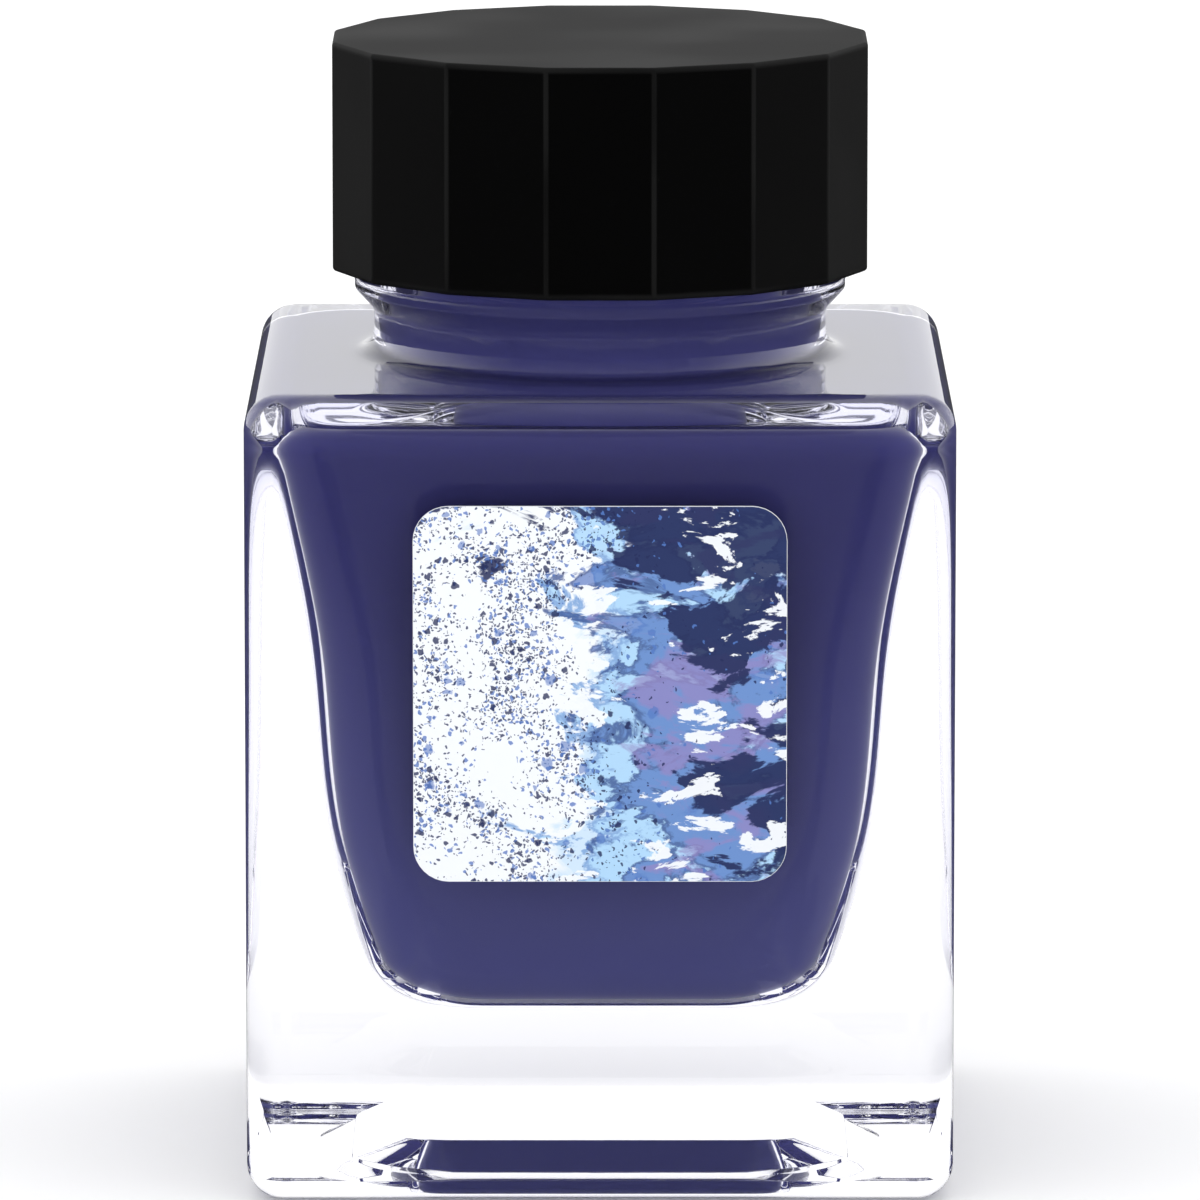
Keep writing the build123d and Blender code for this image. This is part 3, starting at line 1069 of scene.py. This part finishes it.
def label_material(settings):
    """An abstract watercolour: blue washes to one side, bare speckled paper to the other."""
    material, tree, surface = new_material("label_print", {"Roughness": 0.45, "Specular IOR Level": 0.3})
    place = node(tree, "ShaderNodeTexCoord").outputs["UV"]
    across, up, _ = parts_of(tree, place)
    drawn = node(tree, "ShaderNodeMapping", {"Vector": place, "Scale": (0.75, 1.5, 1.0)}).outputs[0]
    wash_tree, speck_tree = wash_group(), specks_group()
    to_right = smooth(tree, across, 0.18, 0.72, -0.17, 0.1)
    to_top = smooth(tree, up, 0.45, 1.0, -0.05, 0.1)
    corner = maths(tree, "ADD", smooth(tree, across, 0.45, 0.9, -0.16, 0.08), to_top)
    less_blue, less_violet = maths(tree, "SUBTRACT", to_right, 0.02), maths(tree, "SUBTRACT", to_right, 0.1)
    paper, pale, middle = tuple(settings.paper), tuple(settings.pale), tuple(settings.middle)
    deep, violet = tuple(settings.deep), tuple(settings.violet)
    colour = paper
    for scale, seed, bias, threshold, softness, layers in (
        (2.6, 1.3, to_right, 0.46, 0.05, (("Cover", 0.55, pale),)),
        (4.2, 5.7, to_right, 0.48, 0.03, (("Cover", 0.9, pale), ("Edge", 0.55, middle))),
        (5.5, 9.1, less_blue, 0.5, 0.04, (("Cover", 0.8, middle), ("Edge", 0.5, deep))),
        (6.5, 12.4, less_violet, 0.5, 0.08, (("Cover", 0.75, violet),)),
        (4.4, 23.7, corner, 0.5, 0.025, (("Cover", 0.95, deep),)),
        (7.5, 35.2, 0.0, 0.57, 0.02, (("Cover", 0.95, paper),)),
    ):
        laid = wash(tree, wash_tree, drawn, scale, seed, bias, threshold, softness)
        for output, strength, paint in layers:
            colour = blend_colours(tree, times(tree, laid[output], strength), colour, paint)
    thick = smooth(tree, noise(tree, place, 5.0, 2.0), 0.35, 0.62)
    to_left = smooth(tree, across, 0.75, 0.25, 0.04, 1.0)
    dense = times(tree, thick, to_left)
    for scale, size, share, paint, strength in (
        (120.0, 0.42, 0.75, deep, 0.9),
        (75.0, 0.4, 0.55, middle, 0.85),
        (42.0, 0.36, 0.4, deep, 0.9),
        (22.0, 0.3, 0.3, middle, 0.7),
    ):
        cover = specks(tree, speck_tree, place, scale, size, times(tree, dense, share))
        colour = blend_colours(tree, times(tree, cover, strength), colour, paint)
    tree.links.new(colour, surface.inputs["Base Color"])
    bumped(tree, surface, noise(tree, place, 160.0, 3.0), 0.05, 0.00002)
    return material


def label_edge_material(settings):
    """The cut edge and back of the label's paper."""
    material, tree, surface = new_material("label_edge", {"Roughness": 0.7})
    fibres = noise(tree, place_on_object(tree), 2500.0, 2.0)
    lighter = tuple(settings.paper)
    darker = (lighter[0] * 0.8, lighter[1] * 0.8, lighter[2] * 0.8, 1.0)
    tree.links.new(blend_colours(tree, fibres, darker, lighter), surface.inputs["Base Color"])
    return material


def floor_material(settings):
    """A seamless pale floor, painted near-black wherever a glossy face mirrors it."""
    material, tree, surface = new_material("floor_paper", {"Roughness": 0.8, "Specular IOR Level": 0.1})
    cloud = noise(tree, place_on_object(tree), 12.0, 2.0)
    base = tuple(settings.floor)
    lighter = tuple(min(1.0, part * 1.02) for part in base)
    paper = blend_colours(tree, cloud, base, lighter)
    # Painted shade: as seen mirrored in a glossy face, the floor turns near-black, so its reflections stay
    # dark.
    paper = blend_colours(tree, only_mirrored(tree), paper, (0.02, 0.02, 0.02, 1.0))
    tree.links.new(paper, surface.inputs["Base Color"])
    return material


# ---------------------------------------------------------------- operators


class INKBOTTLE_OT_glass(bpy.types.Operator):
    """Make the glass bottle"""

    bl_idname = "inkbottle.glass"
    bl_label = "Glass Bottle"

    def execute(self, context):
        bottle, thread = context.scene.ink_bottle, context.scene.ink_bottle_thread
        material = glass_material()
        source = make_glass(bottle)
        values = thread_values(bottle, thread, material)
        thread_tree = shared_tree("Helical Thread", helical_thread_tree)
        piece = grown("bottle_glass", source, thread_tree, values)
        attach(piece, "bottle")
        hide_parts("glass_bottle")
        return {"FINISHED"}


class INKBOTTLE_OT_ink(bpy.types.Operator):
    """Fill the bottle with ink"""

    bl_idname = "inkbottle.ink"
    bl_label = "Ink"

    def execute(self, context):
        bottle, settings = context.scene.ink_bottle, context.scene.ink_bottle_ink
        well = Well(bottle, settings.wetting)
        mouth = bottle.mouth + settings.wetting
        throat = mouth + bottle.throat_rounding
        rings = well.from_floor_to_ceiling(throat)
        bore = rounded_path(
            [
                (throat, well.ceiling, 0.0),
                (mouth, well.ceiling, bottle.throat_rounding),
                (mouth, ink_high.z, 0.0),
            ]
        )
        rings.extend((r, r, z) for r, z in bore[1:-1])
        rings.extend((mouth, mouth, z) for z in spaced(bore[-2][1], ink_high.z, WALL_ROWS))
        surface_start = len(rings)
        for depth in (0.2, 0.6, 1.2, 2.0, 3.2, 5.0, 7.5):
            fall = settings.meniscus * (1.0 - math.exp(-depth / 0.9))
            rings.append((mouth - depth * MM, mouth - depth * MM, ink_high.z - fall))
        piece = skin(
            "ink_fill", rings, all_round(quadrant_angles()), well.floor, ink_high.z - settings.meniscus
        )
        piece.data.materials.append(ink_material(settings))
        piece.data.materials.append(ink_surface_material(settings))
        top = ink_high.z - settings.meniscus - 0.01 * MM
        for face in piece.data.polygons:
            if face.center.z > top and face.normal.z > 0.2:
                face.material_index = 1
        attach(piece, "bottle")
        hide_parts("ink")
        return {"FINISHED"}


class INKBOTTLE_OT_cap(bpy.types.Operator):
    """Make the screw cap"""

    bl_idname = "inkbottle.cap"
    bl_label = "Screw Cap"

    def execute(self, context):
        scene = context.scene
        bottle, thread, cap = scene.ink_bottle, scene.ink_bottle_thread, scene.ink_bottle_cap
        material = cap_material(cap)
        values = thread_values(bottle, thread, material)
        values.update(
            {
                "Facets": cap.facets,
                "End Height": bottle.rim - thread.below_rim - thread.drop,
                "Root Width": thread.cap_root_width,
                "Crest Width": thread.cap_crest_width,
                "Ridge Height": -thread.cap_ridge,
                "Phase": thread.drop / thread.pitch,
            }
        )
        thread_tree = shared_tree("Helical Thread", helical_thread_tree)
        piece = grown("cap_shell", make_facet(cap), faceted_cap_tree(thread_tree), values)
        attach(piece, "cap")
        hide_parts("screw_cap")
        return {"FINISHED"}


class INKBOTTLE_OT_liner(bpy.types.Operator):
    """Make the sealing liner inside the cap"""

    bl_idname = "inkbottle.liner"
    bl_label = "Sealing Liner"

    def execute(self, context):
        bottle, settings = context.scene.ink_bottle, context.scene.ink_bottle_liner
        radius, low, high = liner_high.x, liner_low.z, liner_high.z
        swell = low - settings.pillow
        path = rounded_path(
            [
                (0.3 * MM, swell, 0.0),
                (bottle.mouth - 0.2 * MM, swell, 0.25 * MM),
                (bottle.mouth + 0.2 * MM, low, 0.1 * MM),
                (bottle.upper_neck - 0.1 * MM, low, 0.1 * MM),
                (bottle.upper_neck + 0.25 * MM, swell, 0.1 * MM),
                (radius, swell, settings.rounding),
                (radius, high, settings.rounding),
                (0.3 * MM, high, 0.0),
            ]
        )
        rings = [(r, r, z) for r, z in path]
        piece = skin("liner_disc", rings, all_round([i * 3.0 for i in range(30)]), swell, high)
        piece.data.materials.append(liner_material(settings))
        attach(piece, "liner")
        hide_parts("sealing_liner")
        return {"FINISHED"}


class INKBOTTLE_OT_label(bpy.types.Operator):
    """Make the front label"""

    bl_idname = "inkbottle.label"
    bl_label = "Front Label"

    def execute(self, context):
        settings = context.scene.ink_bottle_label
        piece = make_label(settings)
        piece.data.materials.append(label_material(settings))
        piece.data.materials.append(label_edge_material(settings))
        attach(piece, "bottle")
        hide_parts("front_label")
        return {"FINISHED"}


def make_label(settings):
    """The label's sheet: its printed front is material 0, its cut edge and back are material 1."""
    width, height = label_high.x - label_low.x, label_high.z - label_low.z
    centre_z = (label_high.z + label_low.z) / 2.0
    mesh = bmesh.new()
    uv_layer = mesh.loops.layers.uv.new("label")
    back, front = label_high.y, label_low.y
    rows = []
    edge = settings.edge
    for inset, y in ((0.0, back), (0.0, front + edge), (edge * 0.3, front + edge * 0.3), (edge, front)):
        row = []
        for x, z in label_outline(width / 2.0, height / 2.0, settings.corner, inset):
            row.append(mesh.verts.new((x, y, z + centre_z)))
        rows.append(row)
    count = len(rows[0])
    for near, far in zip(rows, rows[1:]):
        for i in range(count):
            mesh.faces.new((near[i], near[(i + 1) % count], far[(i + 1) % count], far[i]))
    mesh.faces.new(rows[0])
    face = mesh.faces.new(rows[-1])
    bmesh.ops.recalc_face_normals(mesh, faces=mesh.faces)
    for each in mesh.faces:
        each.smooth = False
        each.material_index = 0 if each is face else 1
        for loop in each.loops:
            place = loop.vert.co
            loop[uv_layer].uv = ((place.x - label_low.x) / width, (place.z - label_low.z) / height)
    data = bpy.data.meshes.new("label_sheet")
    mesh.to_mesh(data)
    mesh.free()
    piece = bpy.data.objects.new("label_sheet", data)
    bpy.context.scene.collection.objects.link(piece)
    return piece


def label_outline(half_width, half_height, corner, inset):
    """Points round a rounded rectangle, set in by the inset."""
    points = []
    radius = corner - inset
    for quarter in range(4):
        sign_x = 1.0 if quarter in (0, 3) else -1.0
        sign_z = 1.0 if quarter in (0, 1) else -1.0
        for step in range(9):
            angle = math.radians(90.0 * quarter + 90.0 * step / 8.0)
            points.append(
                (
                    sign_x * (half_width - corner) + radius * math.cos(angle),
                    sign_z * (half_height - corner) + radius * math.sin(angle),
                )
            )
    return points


class INKBOTTLE_OT_stage(bpy.types.Operator):
    """Set up the floor, the light and the camera"""

    bl_idname = "inkbottle.stage"
    bl_label = "Stage"

    def execute(self, context):
        settings = context.scene.ink_bottle_studio
        make_floor(settings)
        make_world(settings)
        make_camera(settings)
        context.scene.view_settings.view_transform = "Standard"
        cycles = context.scene.cycles
        cycles.max_bounces = 24
        cycles.transmission_bounces = 24
        cycles.glossy_bounces = 12
        cycles.transparent_max_bounces = 16
        return {"FINISHED"}


def make_floor(settings):
    """A wide floor under the bottle."""
    mesh = bmesh.new()
    bmesh.ops.create_grid(mesh, x_segments=8, y_segments=8, size=3.0)
    bmesh.ops.translate(mesh, verts=mesh.verts, vec=(0.0, 0.0, -settings.gap))
    data = bpy.data.meshes.new("floor")
    mesh.to_mesh(data)
    mesh.free()
    floor = bpy.data.objects.new("floor", data)
    bpy.context.scene.collection.objects.link(floor)
    data.materials.append(floor_material(settings))


def only_mirrored(tree):
    """One for a ray that has just been mirrored by an outer face, and nought for every other ray."""
    path = node(tree, "ShaderNodeLightPath").outputs
    return times(tree, path["Is Glossy Ray"], maths(tree, "SUBTRACT", 1.0, path["Is Transmission Ray"]))


def make_world(settings):
    """A white studio that is darker behind the camera, so that the black cap stays black."""
    world = bpy.data.worlds.new("studio")
    bpy.context.scene.world = world
    world.use_nodes = True
    tree = world.node_tree
    tree.nodes.clear()
    direction = node(tree, "ShaderNodeTexCoord").outputs["Generated"]
    part = parts_of(tree, direction)
    to_side = smooth(tree, part[1], -0.95, 0.0, settings.front_light, settings.side_light)
    to_back = smooth(tree, part[1], 0.0, 0.8, 0.0, settings.room - settings.side_light)
    level = maths(tree, "ADD", to_side, to_back)
    overhead = smooth(tree, part[2], 0.5, 0.9, 0.0, settings.top_light)
    level = maths(tree, "MAXIMUM", level, overhead)
    beside = smooth(tree, maths(tree, "ABSOLUTE", part[0]), 0.45, 0.75, 0.0, settings.side_boxes)
    beside = times(tree, beside, smooth(tree, part[1], -0.5, 0.6))
    level = maths(tree, "ADD", level, beside)
    mirrored = only_mirrored(tree)
    seen = node(tree, "ShaderNodeMix", {0: mirrored, 2: settings.room, 3: level}, data_type="FLOAT")
    background = node(
        tree, "ShaderNodeBackground", {"Color": (1.0, 1.0, 1.0, 1.0), "Strength": seen.outputs[0]}
    )
    output = tree.nodes.new("ShaderNodeOutputWorld")
    tree.links.new(background.outputs[0], output.inputs["Surface"])


def make_camera(settings):
    """A long lens that looks slightly down on the bottle's front."""
    data = bpy.data.cameras.new("camera")
    data.lens = settings.lens
    data.sensor_width = 36.0
    data.clip_start, data.clip_end = 0.01, 20.0
    camera = bpy.data.objects.new("camera", data)
    camera.location = (0.0, -settings.distance, settings.height)
    camera.rotation_euler = (math.pi / 2.0 - settings.tilt, 0.0, 0.0)
    bpy.context.scene.collection.objects.link(camera)
    bpy.context.scene.camera = camera


class INKBOTTLE_PT_panel(bpy.types.Panel):
    """Lists the bottle's pieces"""

    bl_label = "Ink Bottle"
    bl_idname = "INKBOTTLE_PT_panel"
    bl_space_type = "VIEW_3D"
    bl_region_type = "UI"
    bl_category = "Ink Bottle"

    def draw(self, context):
        for operator in OPERATORS:
            self.layout.operator(operator.bl_idname)


SETTINGS = {
    "ink_bottle": BottleSettings,
    "ink_bottle_thread": ThreadSettings,
    "ink_bottle_ink": InkSettings,
    "ink_bottle_cap": CapSettings,
    "ink_bottle_liner": LinerSettings,
    "ink_bottle_label": LabelSettings,
    "ink_bottle_studio": StudioSettings,
}
OPERATORS = (
    INKBOTTLE_OT_glass,
    INKBOTTLE_OT_ink,
    INKBOTTLE_OT_cap,
    INKBOTTLE_OT_liner,
    INKBOTTLE_OT_label,
    INKBOTTLE_OT_stage,
)


def register():
    """Registers the settings, the operators and the panel."""
    for name, group in SETTINGS.items():
        bpy.utils.register_class(group)
        setattr(bpy.types.Scene, name, PointerProperty(type=group))
    for each in (*OPERATORS, INKBOTTLE_PT_panel):
        bpy.utils.register_class(each)


def unregister():
    """Takes back what register added."""
    for each in (INKBOTTLE_PT_panel, *reversed(OPERATORS)):
        bpy.utils.unregister_class(each)
    for name, group in SETTINGS.items():
        delattr(bpy.types.Scene, name)
        bpy.utils.unregister_class(group)


def main():
    """Makes every piece and the stage."""
    register()
    bpy.ops.inkbottle.glass()
    bpy.ops.inkbottle.ink()
    bpy.ops.inkbottle.cap()
    bpy.ops.inkbottle.liner()
    bpy.ops.inkbottle.label()
    bpy.ops.inkbottle.stage()


if __name__ == "__main__":
    main()
